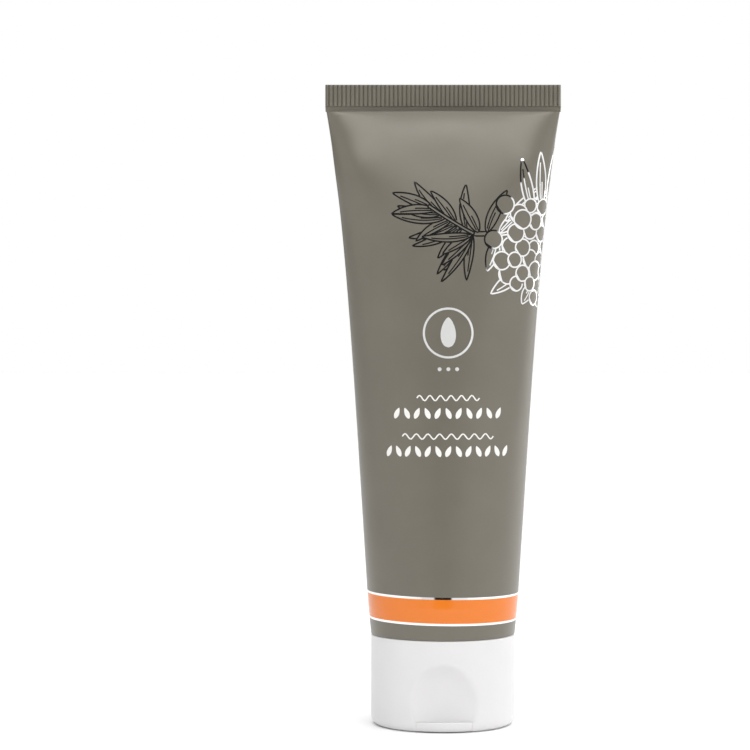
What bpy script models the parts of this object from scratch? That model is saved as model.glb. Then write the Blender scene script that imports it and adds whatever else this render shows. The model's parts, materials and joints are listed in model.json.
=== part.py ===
"""Squeeze tube of shaving cream that stands on its flip-top cap.

Units are metres and +Z is up, from the cap on the table to the flat crimp at the top.
The origin is the centre of the cap's standing rim.  X runs along the crimp and -Y is the front.
"""
import math

import bmesh
import bpy
from mathutils import Matrix, Vector

MM = 0.001
GAP = 0.3 * MM  # left between neighbouring pieces
STEPS = 48  # facets round a turned piece

# Heights above the table
LID_BOTTOM = GAP  # the lid lies just inside the standing rim
LID_TOP = 2.4 * MM
DECK_BOTTOM = LID_TOP + GAP
CAP_TOP = 21.2 * MM
SLEEVE_BOTTOM = CAP_TOP + GAP
SLEEVE_ROUND_TOP = 28.0 * MM  # the sleeve is round up to here, then flattens towards the crimp
CRIMP_BOTTOM = 143.5 * MM
TUBE_TOP = 149.4 * MM

# Sleeve
SLEEVE_RADIUS = 17.5 * MM
SLEEVE_END_RADIUS = 16.8 * MM
SLEEVE_WALL = 0.45 * MM
SLEEVE_PERIMETER = 2 * math.pi * SLEEVE_RADIUS
FLARE_EVEN = 7.2 * MM  # widening of the half width that grows evenly with height
FLARE_LATE = 2.5 * MM  # widening that comes only close to the crimp
FLARE_HEIGHT = 115.0 * MM
CRIMP_HALF_WIDTH = SLEEVE_PERIMETER / 4
CRIMP_HALF_DEPTH = 0.65 * MM
CRIMP_RIM = 0.9 * MM  # plain edge above and below the pressed band
CRIMP_BAND_DEPTH = 0.8 * MM
CAVITY_TOP = 141.0 * MM
SLEEVE_RINGS = 13

# Cap body
CAP_RADIUS = 16.8 * MM
CAP_INNER_RADIUS = 15.5 * MM
CAP_EDGE = 0.3 * MM
CAP_FOOT_RADIUS = 2.0 * MM  # rounding of the lower outer edge
RIM_INNER_RADIUS = 13.3 * MM
FRONT_NOTCH_WIDTH = 13.2 * MM  # in the rim, under the finger recess
BACK_NOTCH_WIDTH = 20.0 * MM  # in the rim, for the hinge side of the lid
DECK_TOP = 4.0 * MM
SPOUT_RADIUS = 4.2 * MM
SPOUT_BOTTOM = 1.5 * MM
ORIFICE_RADIUS = 2.6 * MM
COLLAR_INNER = 8.85 * MM
COLLAR_OUTER = 10.2 * MM
COLLAR_TOP = 15.5 * MM
RIB_COUNT = 8
RIB_THICKNESS = 1.0 * MM
RIB_TOP = 10.0 * MM

# Finger recess in the front of the cap: part of an egg shape
RECESS_CENTRE = Vector((0.0, -19.0 * MM, 6.5 * MM))
RECESS_RADII = Vector((10.8 * MM, 5.2 * MM, 9.9 * MM))
RECESS_WALL = 1.3 * MM
RECESS_BACKING_TOP = CAP_TOP - 1.0 * MM

# Lid: a disc inside the rim, a finger lip in front and a tab behind
LID_RADIUS = 12.8 * MM
LID_FLOOR = 1.3 * MM
LID_HOLLOW_RADIUS = 11.8 * MM
LIP_WIDTH = FRONT_NOTCH_WIDTH - 2 * GAP
TAB_WIDTH = BACK_NOTCH_WIDTH - 2 * GAP
PIN_RADIUS = 2.2 * MM
PIN_TIP_RADIUS = 2.0 * MM
PIN_TOP = 3.4 * MM

# Living hinge at the back of the cap
HINGE_Y = 16.0 * MM
HINGE_Z = (LID_TOP + DECK_BOTTOM) / 2
HINGE_THICKNESS = 0.3 * MM
NOTCH_Y = HINGE_Y - HINGE_THICKNESS / 2 - GAP
NOTCH_TOP = 5.2 * MM
FILM_WIDTH = 6.4 * MM
FILM_HEIGHT = 3.2 * MM
STRAP_WIDTH = 1.8 * MM
STRAP_HEIGHT = 4.0 * MM
STRAP_X = 5.1 * MM

# Screw thread between the tube's neck and the cap's collar, right-handed
THREAD_PITCH = 3.2 * MM
THREAD_TURNS = 1.5
THREAD_STEPS = 36  # facets in one turn
NECK_THREAD_Z = 6.6 * MM
COLLAR_THREAD_Z = NECK_THREAD_Z + THREAD_PITCH / 2
# Each ridge: radius at its root and crest, half height at its root and crest
NECK_RIDGE = (7.1 * MM, 8.4 * MM, 0.95 * MM, 0.4 * MM)
COLLAR_RIDGE = (9.2 * MM, 7.8 * MM, 0.9 * MM, 0.35 * MM)

# Tube head: threaded neck and conical shoulder
NECK_RADIUS = 7.4 * MM
BORE_RADIUS = 5.9 * MM
NECK_BOTTOM = 5.0 * MM
SHOULDER_LOW = 17.0 * MM
SHOULDER_HIGH = 22.0 * MM
SHOULDER_RADIUS = 15.4 * MM
SHOULDER_INNER_LOW = 17.4 * MM
SHOULDER_INNER_HIGH = 23.1 * MM
HEAD_RIM_RADIUS = 16.0 * MM
HEAD_RIM_INNER = 15.1 * MM
HEAD_RIM_LOW = 22.4 * MM
HEAD_RIM_TOP = 25.0 * MM

# Pieces inside
FOIL_RADIUS = 7.2 * MM
FOIL_BOTTOM = DECK_TOP + GAP
FOIL_THICKNESS = 0.35 * MM
INSERT_THICKNESS = 0.5 * MM
INSERT_INNER = BORE_RADIUS + 0.6 * MM
INSERT_OUTER = HEAD_RIM_INNER - 0.5 * MM
INSERT_LIFT = 1.3 * GAP  # keeps the gap square to the cone
CREAM_CLEARANCE = 0.35 * MM
CREAM_NECK_TOP = SHOULDER_INNER_LOW + 1.2 * MM
CREAM_CONE_TOP = HEAD_RIM_TOP - 0.4 * MM
CREAM_WIDE_BOTTOM = HEAD_RIM_TOP + 1.2 * MM


def clear_scene():
    for obj in list(bpy.data.objects):
        bpy.data.objects.remove(obj, do_unlink=True)


def material(name, colour, roughness, metallic=0.0):
    mat = bpy.data.materials.new(name)
    mat.use_nodes = True
    shader = mat.node_tree.nodes["Principled BSDF"]
    shader.inputs["Base Color"].default_value = (*colour, 1.0)
    shader.inputs["Roughness"].default_value = roughness
    shader.inputs["Metallic"].default_value = metallic
    return mat


def add_object(name, mesh, mat=None):
    obj = bpy.data.objects.new(name, mesh)
    bpy.context.collection.objects.link(obj)
    if mat is not None:
        mesh.materials.append(mat)
    return obj


def mesh_object(name, bm, mat=None, smooth=True):
    mesh = bpy.data.meshes.new(name)
    bm.normal_update()
    bm.to_mesh(mesh)
    bm.free()
    if smooth:
        mesh.shade_smooth()
        mesh.set_sharp_from_angle(angle=math.radians(35))
    return add_object(name, mesh, mat)


def turned(name, profile, mat=None, steps=STEPS):
    """A piece turned about Z from (radius, height) points that run down its outer side.

    A profile that ends on the axis closes there; any other closes on itself.
    """
    mesh = bpy.data.meshes.new(name)
    count = len(profile)
    edges = [(i, i + 1) for i in range(count - 1)]
    if profile[0][0] > 0:
        edges.append((count - 1, 0))
    mesh.from_pydata([(r, 0.0, z) for r, z in profile], edges, [])
    obj = add_object(name, mesh, mat)
    screw = obj.modifiers.new("Turn", "SCREW")
    screw.axis = "Z"
    screw.angle = 2 * math.pi
    screw.steps = steps
    screw.render_steps = steps
    screw.use_merge_vertices = True
    screw.merge_threshold = 0.00001
    screw.use_smooth_shade = True
    return obj


def arc(centre, radius, start_deg, end_deg, count):
    """Points on an arc in the (radius, height) plane, both ends included."""
    points = []
    for i in range(count + 1):
        angle = math.radians(start_deg + (end_deg - start_deg) * i / count)
        points.append((centre[0] + radius * math.cos(angle), centre[1] + radius * math.sin(angle)))
    return points


def loft(name, rings, mat=None):
    """A closed skin over rings of points, each ring running anticlockwise seen from above.

    The rings go from the lower end over the outside; both ends are filled.
    """
    bm = bmesh.new()
    loops = [[bm.verts.new(point) for point in ring] for ring in rings]
    for low, high in zip(loops, loops[1:]):
        for i, vert in enumerate(low):
            j = (i + 1) % len(low)
            bm.faces.new((vert, low[j], high[j], high[i]))
    bm.faces.new(list(reversed(loops[0])))
    bm.faces.new(loops[-1])
    return mesh_object(name, bm, mat)


def block(name, low, high, mat=None):
    bm = bmesh.new()
    centre = [(a + b) / 2 for a, b in zip(low, high)]
    size = [b - a for a, b in zip(low, high)]
    place = Matrix.Translation(centre) @ Matrix.Diagonal((*size, 1.0))
    bmesh.ops.create_cube(bm, size=1.0, matrix=place)
    return mesh_object(name, bm, mat, smooth=False)


def egg(name, centre, radii):
    bm = bmesh.new()
    place = Matrix.Translation(centre) @ Matrix.Diagonal((*radii, 1.0))
    bmesh.ops.create_uvsphere(bm, u_segments=32, v_segments=20, radius=1.0, matrix=place)
    return mesh_object(name, bm)


def boolean(target, tool, operation):
    """Joins, cuts or keeps the overlap with a tool that is then hidden."""
    tool.hide_render = True
    tool.display_type = "WIRE"
    mod = target.modifiers.new(tool.name, "BOOLEAN")
    mod.operation = operation
    mod.solver = "EXACT"
    mod.object = tool


def ellipse_perimeter(a, b):
    return math.pi * (3 * (a + b) - math.sqrt((3 * a + b) * (a + 3 * b)))


def half_width(z):
    if z <= SLEEVE_ROUND_TOP:
        t = (z - SLEEVE_BOTTOM) / (SLEEVE_ROUND_TOP - SLEEVE_BOTTOM)
        return SLEEVE_END_RADIUS + (SLEEVE_RADIUS - SLEEVE_END_RADIUS) * t
    t = (z - SLEEVE_ROUND_TOP) / FLARE_HEIGHT
    return SLEEVE_RADIUS + FLARE_EVEN * t + FLARE_LATE * t**5


def half_depth(z):
    """The sheet can't stretch, so the section's perimeter stays that of the round end."""
    wide = half_width(z)
    if z <= SLEEVE_ROUND_TOP:
        return wide
    low, high = 0.0, SLEEVE_RADIUS
    for _ in range(40):
        middle = (low + high) / 2
        if ellipse_perimeter(wide, middle) < SLEEVE_PERIMETER:
            low = middle
        else:
            high = middle
    return low


def section(z, inset=0.0):
    a, b = half_width(z) - inset, half_depth(z) - inset
    ring = []
    for i in range(STEPS):
        angle = 2 * math.pi * i / STEPS
        ring.append((a * math.cos(angle), b * math.sin(angle), z))
    return ring


def round_ring(radius, z):
    ring = []
    for i in range(STEPS):
        angle = 2 * math.pi * i / STEPS
        ring.append((radius * math.cos(angle), radius * math.sin(angle), z))
    return ring


def crimp_ring(half_thickness, z):
    """A flat strip's outline, with as many points as the round sections."""
    ring = []
    for i in range(STEPS):
        angle = 2 * math.pi * i / STEPS
        side = math.copysign(min(1.0, abs(math.sin(angle)) * 4), math.sin(angle))
        ring.append((CRIMP_HALF_WIDTH * math.cos(angle), half_thickness * side, z))
    return ring


def heights(start, end, count):
    return [start + (end - start) * i / count for i in range(count + 1)]


def thread(name, start_z, root, crest, root_half, crest_half):
    """A helical ridge from its root radius to its crest radius, closed at both ends."""
    bm = bmesh.new()
    loops = []
    count = round(THREAD_TURNS * THREAD_STEPS)
    corners = [(root, -root_half), (crest, -crest_half), (crest, crest_half), (root, root_half)]
    for i in range(count + 1):
        angle = 2 * math.pi * i / THREAD_STEPS
        rise = start_z + THREAD_PITCH * i / THREAD_STEPS
        x, y = math.cos(angle), math.sin(angle)
        loops.append([bm.verts.new((r * x, r * y, rise + dz)) for r, dz in corners])
    for here, there in zip(loops, loops[1:]):
        for i in range(4):
            j = (i + 1) % 4
            bm.faces.new((here[i], here[j], there[j], there[i]))
    bm.faces.new(loops[0])
    bm.faces.new(loops[-1])
    bmesh.ops.recalc_face_normals(bm, faces=bm.faces)
    return mesh_object(name, bm)


def make_sleeve(mat):
    """Thin flattened tube: out over the bottom rim, up the outside, and back down inside."""
    outer_heights = heights(SLEEVE_BOTTOM, SLEEVE_ROUND_TOP, 3)
    outer_heights += heights(SLEEVE_ROUND_TOP, SLEEVE_ROUND_TOP + FLARE_HEIGHT, SLEEVE_RINGS)[1:]
    inner_heights = heights(SLEEVE_BOTTOM, SLEEVE_ROUND_TOP, 3)
    inner_heights += heights(SLEEVE_ROUND_TOP, CAVITY_TOP, SLEEVE_RINGS)[1:]
    inside = [section(z, SLEEVE_WALL) for z in reversed(inner_heights)]
    outside = [section(z) for z in outer_heights]
    crimp = [
        crimp_ring(CRIMP_HALF_DEPTH, CRIMP_BOTTOM),
        crimp_ring(CRIMP_HALF_DEPTH, CRIMP_BOTTOM + CRIMP_RIM),
        crimp_ring(CRIMP_BAND_DEPTH, CRIMP_BOTTOM + CRIMP_RIM),
        crimp_ring(CRIMP_BAND_DEPTH, TUBE_TOP - GAP),
        crimp_ring(CRIMP_HALF_DEPTH, TUBE_TOP),
    ]
    return loft("tube_sleeve", inside + outside + crimp, mat)


def make_head(mat):
    profile = [
        (HEAD_RIM_RADIUS, HEAD_RIM_TOP),
        (HEAD_RIM_RADIUS, HEAD_RIM_LOW),
        (SHOULDER_RADIUS, SHOULDER_HIGH),
        (NECK_RADIUS, SHOULDER_LOW),
        (NECK_RADIUS, NECK_BOTTOM),
        (BORE_RADIUS, NECK_BOTTOM),
        (BORE_RADIUS, SHOULDER_INNER_LOW),
        (HEAD_RIM_INNER, SHOULDER_INNER_HIGH),
        (HEAD_RIM_INNER, HEAD_RIM_TOP),
    ]
    head = turned("tube_head", profile, mat)
    ridge = thread("neck_thread", NECK_THREAD_Z, *NECK_RIDGE)
    boolean(head, ridge, "UNION")
    return head


def make_insert(mat):
    """Conical barrier washer that lines the shoulder."""
    slope = (SHOULDER_INNER_HIGH - SHOULDER_INNER_LOW) / (HEAD_RIM_INNER - BORE_RADIUS)

    def on_cone(radius, rise):
        return (radius, SHOULDER_INNER_LOW + slope * (radius - BORE_RADIUS) + INSERT_LIFT + rise)

    profile = [
        on_cone(INSERT_OUTER, INSERT_THICKNESS),
        on_cone(INSERT_OUTER, 0.0),
        on_cone(INSERT_INNER, 0.0),
        on_cone(INSERT_INNER, INSERT_THICKNESS),
    ]
    return turned("shoulder_insert", profile, mat)


def make_foil(mat):
    top = FOIL_BOTTOM + FOIL_THICKNESS
    profile = [(0.0, top), (FOIL_RADIUS, top), (FOIL_RADIUS, FOIL_BOTTOM), (0.0, FOIL_BOTTOM)]
    return turned("seal_foil", profile, mat)


def make_cream(mat):
    """The filling: it stands in the neck and fills the sleeve up to the crimp."""
    inset = SLEEVE_WALL + CREAM_CLEARANCE
    neck = BORE_RADIUS - CREAM_CLEARANCE
    rings = [
        round_ring(neck, NECK_BOTTOM + CREAM_CLEARANCE),
        round_ring(neck, CREAM_NECK_TOP),
        round_ring(HEAD_RIM_INNER - CREAM_CLEARANCE, CREAM_CONE_TOP),
        round_ring(HEAD_RIM_INNER - CREAM_CLEARANCE, HEAD_RIM_TOP + CREAM_CLEARANCE),
    ]
    top = CAVITY_TOP - CREAM_CLEARANCE
    for z in heights(CREAM_WIDE_BOTTOM, top, SLEEVE_RINGS):
        rings.append(section(z, inset))
    return loft("shaving_cream", rings, mat)


def foot_arc():
    """The rounded lower outer edge of the cap, running down to the standing rim."""
    centre = (CAP_RADIUS - CAP_FOOT_RADIUS, CAP_FOOT_RADIUS)
    return arc(centre, CAP_FOOT_RADIUS, 0, -90, 6)


def make_cap_body(mat):
    profile = [
        (CAP_RADIUS - CAP_EDGE, CAP_TOP),
        (CAP_RADIUS, CAP_TOP - CAP_EDGE),
        *foot_arc(),
        (RIM_INNER_RADIUS, 0.0),
        (RIM_INNER_RADIUS, DECK_BOTTOM),
        (SPOUT_RADIUS, DECK_BOTTOM),
        (SPOUT_RADIUS, SPOUT_BOTTOM),
        (ORIFICE_RADIUS, SPOUT_BOTTOM),
        (ORIFICE_RADIUS, DECK_TOP),
        (COLLAR_INNER, DECK_TOP),
        (COLLAR_INNER, COLLAR_TOP),
        (COLLAR_OUTER, COLLAR_TOP),
        (COLLAR_OUTER, DECK_TOP),
        (CAP_INNER_RADIUS, DECK_TOP),
        (CAP_INNER_RADIUS, CAP_TOP),
    ]
    cap = turned("cap_body", profile, mat)
    ridge = thread("collar_thread", COLLAR_THREAD_Z, *COLLAR_RIDGE)
    boolean(cap, ridge, "UNION")
    add_cap_ribs(cap)
    add_finger_recess(cap)
    cut_rim_notches(cap)
    return cap


def cut_rim_notches(cap):
    """Openings in the standing rim for the lid's lip and tab, and the hinge's flat seat."""
    far = 2 * CAP_RADIUS
    front, back = FRONT_NOTCH_WIDTH / 2, BACK_NOTCH_WIDTH / 2
    inside = RIM_INNER_RADIUS / 2
    front_notch = block("front_notch", (-front, -far, -far), (front, -inside, DECK_BOTTOM))
    boolean(cap, front_notch, "DIFFERENCE")
    back_notch = block("back_notch", (-back, inside, -far), (back, far, DECK_BOTTOM))
    boolean(cap, back_notch, "DIFFERENCE")
    seat = block("hinge_seat", (-CAP_RADIUS, NOTCH_Y, 0.0), (CAP_RADIUS, far, NOTCH_TOP))
    boolean(cap, seat, "DIFFERENCE")


def add_cap_ribs(cap):
    """Radial ribs that tie the skirt to the threaded collar."""
    inner = COLLAR_OUTER - GAP
    outer = CAP_INNER_RADIUS + GAP
    for i in range(RIB_COUNT):
        low = (inner, -RIB_THICKNESS / 2, DECK_TOP - GAP)
        high = (outer, RIB_THICKNESS / 2, RIB_TOP)
        rib = block(f"cap_rib_{i + 1}", low, high)
        rib.rotation_euler.z = 2 * math.pi * (i + 0.5) / RIB_COUNT
        boolean(cap, rib, "UNION")


def add_finger_recess(cap):
    """The hollow under which a finger lifts the lid, with a wall behind it."""
    wall = Vector((RECESS_WALL, RECESS_WALL, RECESS_WALL))
    backing = egg("recess_backing", RECESS_CENTRE, RECESS_RADII + wall)
    low, high = DECK_BOTTOM + GAP, RECESS_BACKING_TOP
    radius = CAP_RADIUS - 2 * GAP
    core = turned("recess_core", [(0.0, high), (radius, high), (radius, low), (0.0, low)])
    boolean(backing, core, "INTERSECT")
    boolean(cap, backing, "UNION")
    cutter = egg("recess_cutter", RECESS_CENTRE, RECESS_RADII)
    far = 2 * CAP_RADIUS
    above_lip = block("recess_floor", (-far, -far, LID_TOP), (far, far, far))
    boolean(cutter, above_lip, "INTERSECT")
    boolean(cap, cutter, "DIFFERENCE")


def lid_plan():
    """The lid seen from above: its disc, with the finger lip in front and the tab behind."""
    lip, tab = LIP_WIDTH / 2, TAB_WIDTH / 2
    far = 2 * CAP_RADIUS
    lip_angle = math.acos(lip / LID_RADIUS)
    tab_angle = math.acos(tab / LID_RADIUS)
    right = arc((0.0, 0.0), LID_RADIUS, -math.degrees(lip_angle), math.degrees(tab_angle), 14)
    left = [(-x, y) for x, y in reversed(right)]
    return [(-lip, -far), (lip, -far), *right, (tab, NOTCH_Y), (-tab, NOTCH_Y), *left]


def prism(name, outline, low, high):
    """An upright solid over an outline that runs anticlockwise."""
    rings = [[(x, y, z) for x, y in outline] for z in (low, high)]
    return loft(name, rings)


def make_lid(mat):
    """Shallow cup with a plug pin, modelled about its hinge axis."""
    profile = [
        (0.0, PIN_TOP),
        (PIN_TIP_RADIUS, PIN_TOP),
        (PIN_RADIUS, LID_FLOOR),
        (LID_HOLLOW_RADIUS, LID_FLOOR),
        (LID_HOLLOW_RADIUS, LID_TOP),
        (CAP_RADIUS, LID_TOP),
        *foot_arc(),
        (0.0, 0.0),
    ]
    lid = turned("cap_lid", profile, mat)
    plan = prism("lid_plan", lid_plan(), LID_BOTTOM, 2 * PIN_TOP)
    boolean(lid, plan, "INTERSECT")
    axis = bpy.data.objects.new("lid_hinge_axis", None)
    bpy.context.collection.objects.link(axis)
    axis.location = (0.0, HINGE_Y, HINGE_Z)
    for obj in (lid, plan):
        obj.parent = axis
        obj.location = (0.0, -HINGE_Y, -HINGE_Z)
    return lid


def make_hinge_piece(name, x, width, height, mat):
    """A thin strip across the parting line, in the notch at the back."""
    low = (x - width / 2, HINGE_Y - HINGE_THICKNESS / 2, HINGE_Z - height / 2)
    high = (x + width / 2, HINGE_Y + HINGE_THICKNESS / 2, HINGE_Z + height / 2)
    return block(name, low, high, mat)


def main():
    clear_scene()
    make_sleeve(material("sleeve_grey", (0.17, 0.16, 0.13), 0.35, 0.5))
    make_head(material("head_white", (0.80, 0.80, 0.78), 0.45))
    make_insert(material("insert_white", (0.75, 0.76, 0.76), 0.4))
    make_foil(material("foil_silver", (0.80, 0.80, 0.82), 0.3, 1.0))
    make_cream(material("cream_white", (0.90, 0.89, 0.85), 0.5))
    cap_white = material("cap_white", (0.85, 0.85, 0.84), 0.3)
    make_cap_body(cap_white)
    make_lid(material("lid_white", (0.85, 0.85, 0.84), 0.3))
    hinge_white = material("hinge_white", (0.83, 0.83, 0.82), 0.35)
    make_hinge_piece("hinge_film", 0.0, FILM_WIDTH, FILM_HEIGHT, hinge_white)
    make_hinge_piece("hinge_strap_left", -STRAP_X, STRAP_WIDTH, STRAP_HEIGHT, hinge_white)
    make_hinge_piece("hinge_strap_right", STRAP_X, STRAP_WIDTH, STRAP_HEIGHT, hinge_white)


main()
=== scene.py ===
"""The looks of a squeeze tube of shaving cream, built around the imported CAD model."""
import json
import math

import bmesh
import bpy
import numpy as np
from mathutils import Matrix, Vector


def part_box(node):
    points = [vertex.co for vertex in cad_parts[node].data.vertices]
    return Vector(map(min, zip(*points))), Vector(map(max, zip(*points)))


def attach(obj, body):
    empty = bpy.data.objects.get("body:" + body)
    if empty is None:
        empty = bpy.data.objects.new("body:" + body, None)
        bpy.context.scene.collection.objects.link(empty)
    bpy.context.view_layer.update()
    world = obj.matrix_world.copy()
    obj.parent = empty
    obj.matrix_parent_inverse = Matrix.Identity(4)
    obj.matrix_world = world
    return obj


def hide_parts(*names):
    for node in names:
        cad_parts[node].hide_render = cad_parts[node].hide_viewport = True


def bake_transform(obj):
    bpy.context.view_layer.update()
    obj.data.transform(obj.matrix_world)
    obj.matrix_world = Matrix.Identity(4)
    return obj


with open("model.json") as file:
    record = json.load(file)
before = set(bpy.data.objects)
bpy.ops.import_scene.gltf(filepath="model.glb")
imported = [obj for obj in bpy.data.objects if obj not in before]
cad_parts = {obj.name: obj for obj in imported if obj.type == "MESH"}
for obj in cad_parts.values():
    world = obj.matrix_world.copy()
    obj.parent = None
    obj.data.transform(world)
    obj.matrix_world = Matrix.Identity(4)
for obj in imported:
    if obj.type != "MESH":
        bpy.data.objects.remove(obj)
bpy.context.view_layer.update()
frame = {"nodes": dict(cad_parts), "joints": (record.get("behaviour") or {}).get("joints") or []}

MM = 0.001
TAU = 2 * math.pi

# Sizes taken from the frame
SLEEVE_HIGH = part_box("tube_sleeve")[1]
CAP_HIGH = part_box("cap_body")[1]
LID_LOW, LID_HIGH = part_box("cap_lid")
LID_JOINT = next(j for j in frame["joints"] if j["name"] == "lid_flip")
HINGE_Y, HINGE_Z = LID_JOINT["pos_m"][1:]
SLEEVE_RADIUS = SLEEVE_HIGH.y
CRIMP_HALF_WIDTH = SLEEVE_HIGH.x
TUBE_TOP = SLEEVE_HIGH.z
CAP_RADIUS = CAP_HIGH.x
CAP_TOP = CAP_HIGH.z

# Sleeve: round at the cap, flattened evenly at first and faster near the crimp
PERIMETER = TAU * SLEEVE_RADIUS
SLEEVE_BOTTOM = CAP_TOP + 0.06 * MM
SLEEVE_END_RADIUS = 16.8 * MM
ROUND_TOP = 28.0 * MM
FLARE_EVEN = 7.2 * MM
FLARE_LATE = 2.5 * MM
FLARE_HEIGHT = 115.0 * MM
SHOULDER_START = 133.0 * MM  # from here the sheet stands off from the ellipse, to end in a ledge
SHOULDER_DEPTH = 1.05 * MM
LEDGE_START = 143.0 * MM
LEDGE_END = 143.5 * MM
LEDGE_HALF_DEPTH = 0.28 * MM
SLEEVE_WALL = 0.45 * MM
LINER_TOP = 140.0 * MM
FINE_ROWS_START = 120.0 * MM
COLUMNS = 240
TABLE_ROWS = 2400
TABLE_COLUMNS = 129

# Soft bulges of the full tube, each with its place and its spread across and up
CORNER_SWELL = 0.95 * MM
CORNER_PLACE = (21.5 * MM, 129.0 * MM)
CORNER_SPREAD = (5.5 * MM, 7.5 * MM)
MIDDLE_SWELL = 1.05 * MM
MIDDLE_HEIGHT = 143.0 * MM
MIDDLE_SPREAD = (11.0 * MM, 8.0 * MM)

# Crimp
CRIMP_BOTTOM = 143.1 * MM
CRIMP_HALF_DEPTH = 0.62 * MM
CRIMP_BEVEL = 0.1 * MM
CRIMP_GROOVE = 0.25 * MM  # how far the plain strip under the ridges is set back
RIDGE_COUNT = 54
RIDGE_START = 144.4 * MM
RIDGE_DEPTH = 0.36 * MM
RIDGE_PROUD = 0.12 * MM
RIDGE_SAMPLES = 8
VALLEY_SHARE = 0.17  # width of a valley as a share of the ridge spacing

# Print
BAND_LOW = 25.30 * MM
BAND_HIGH = 30.80 * MM
BAND_SLANT = 0.013  # the band was printed slightly askew, lower on the right
FOIL_LINE = 0.5 * MM
PRINT_OFFSET = 0.9 * MM  # the print's centre line lies a little to the right of the cap's
INK_LIFT = 0.03 * MM
LINE_WIDTH = 0.36 * MM
LINE_STEP = 0.35  # distance between points along a drawn line, in millimetres
FILL_PARTS = 6
EMBLEM_HEIGHT = 91.7  # in millimetres, like all drawing coordinates

# Cap
FOOT_RADIUS = 2.0 * MM
RIM_INNER = 13.3 * MM
DECK_BOTTOM = 2.55 * MM
DECK_TOP = 4.0 * MM
SKIRT_INNER = 15.5 * MM
SKIRT_WALL = 1.2 * MM
COLLAR_INNER = 8.85 * MM
COLLAR_OUTER = 10.2 * MM
COLLAR_TOP = 15.5 * MM
SPOUT_OUTER = 4.2 * MM
SPOUT_INNER = 2.6 * MM
SPOUT_BOTTOM = 1.5 * MM
RIB_COUNT = 8
CAP_COLUMNS = 288
RECESS_CENTRE = Vector((0.0, -19.0 * MM, 6.5 * MM))
RECESS_RADII = Vector((10.8 * MM, 5.2 * MM, 9.9 * MM))
RECESS_BLEND = 0.35 * MM
LIP_HALF = 6.40 * MM
NOTCH_HALF = 6.43 * MM
TAB_HALF = 9.80 * MM
BACK_NOTCH_HALF = 9.86 * MM
SEAT_Y = 15.55 * MM
SEAT_TOP = 5.2 * MM

# Lid and hinge
LID_RADIUS = 12.9 * MM
LID_TOP = 2.50 * MM
LID_EDGE = 0.15 * MM
LID_FLOOR = 1.3 * MM
LID_HOLLOW = 11.8 * MM
PIN_RADIUS = 2.2 * MM
PIN_TIP = 2.0 * MM
WEB_ROWS = 25

# Threads of the collar and the neck
THREAD_PITCH = 3.2 * MM
THREAD_TURNS = 1.5
THREAD_STEPS = 108
COLLAR_THREAD_Z = 8.2 * MM
NECK_THREAD_Z = 6.6 * MM
HEAD_COLUMNS = 192

SHARP_DEG = 35.0  # edges sharper than this stay crisp
RELIEF_STRENGTH = 0.6

# Studio, in terms of the direction that the light comes from
WORLD_LEVEL = 0.80
WORLD_SIDE = 0.14
WORLD_TOP = 0.68
GAP_MIDDLE = -0.02
GAP_HALF = 0.20
GAP_WIDENING = 1.5
GAP_EDGE = 0.05
GAP_TOP = 0.42
GAP_LIGHT = 0.02  # share of the light that is left in the gap
PANEL_SHADE = 0.85
PANEL_RIGHT = -0.08
PANEL_FRONT = -0.05
PANEL_TOP = 0.75
RAMP = 0.1


# ---------------------------------------------------------------- materials

def new_material(name, colour, roughness, metallic):
    mat = bpy.data.materials.new(name)
    mat.use_nodes = True
    shader = mat.node_tree.nodes["Principled BSDF"]
    shader.inputs["Base Color"].default_value = (*colour, 1.0)
    shader.inputs["Roughness"].default_value = roughness
    shader.inputs["Metallic"].default_value = metallic
    return mat, shader


def add_node(mat, kind, **settings):
    node = mat.node_tree.nodes.new(kind)
    for key, value in settings.items():
        node.inputs[key].default_value = value
    return node


def object_noise(mat, scale, detail=3.0):
    """Noise fixed to the piece; scale is in features per metre."""
    coordinates = add_node(mat, "ShaderNodeTexCoord")
    noise = add_node(mat, "ShaderNodeTexNoise", Scale=scale, Detail=detail)
    mat.node_tree.links.new(coordinates.outputs["Object"], noise.inputs["Vector"])
    return noise.outputs["Fac"]


def vary_colour(mat, shader, factor, dark, light):
    ramp = add_node(mat, "ShaderNodeValToRGB")
    ramp.color_ramp.elements[0].position = 0.3
    ramp.color_ramp.elements[0].color = (*dark, 1.0)
    ramp.color_ramp.elements[1].position = 0.7
    ramp.color_ramp.elements[1].color = (*light, 1.0)
    mat.node_tree.links.new(factor, ramp.inputs["Fac"])
    mat.node_tree.links.new(ramp.outputs["Color"], shader.inputs["Base Color"])


def vary_roughness(mat, shader, factor, low, high):
    spread = add_node(mat, "ShaderNodeMapRange")
    spread.inputs["To Min"].default_value = low
    spread.inputs["To Max"].default_value = high
    mat.node_tree.links.new(factor, spread.inputs["Value"])
    mat.node_tree.links.new(spread.outputs["Result"], shader.inputs["Roughness"])


def add_bump(mat, shader, height, distance):
    bump = add_node(mat, "ShaderNodeBump", Strength=RELIEF_STRENGTH, Distance=distance)
    mat.node_tree.links.new(height, bump.inputs["Height"])
    mat.node_tree.links.new(bump.outputs["Normal"], shader.inputs["Normal"])


def shade(colour, factor):
    return tuple(min(1.0, c * factor) for c in colour)


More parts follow.
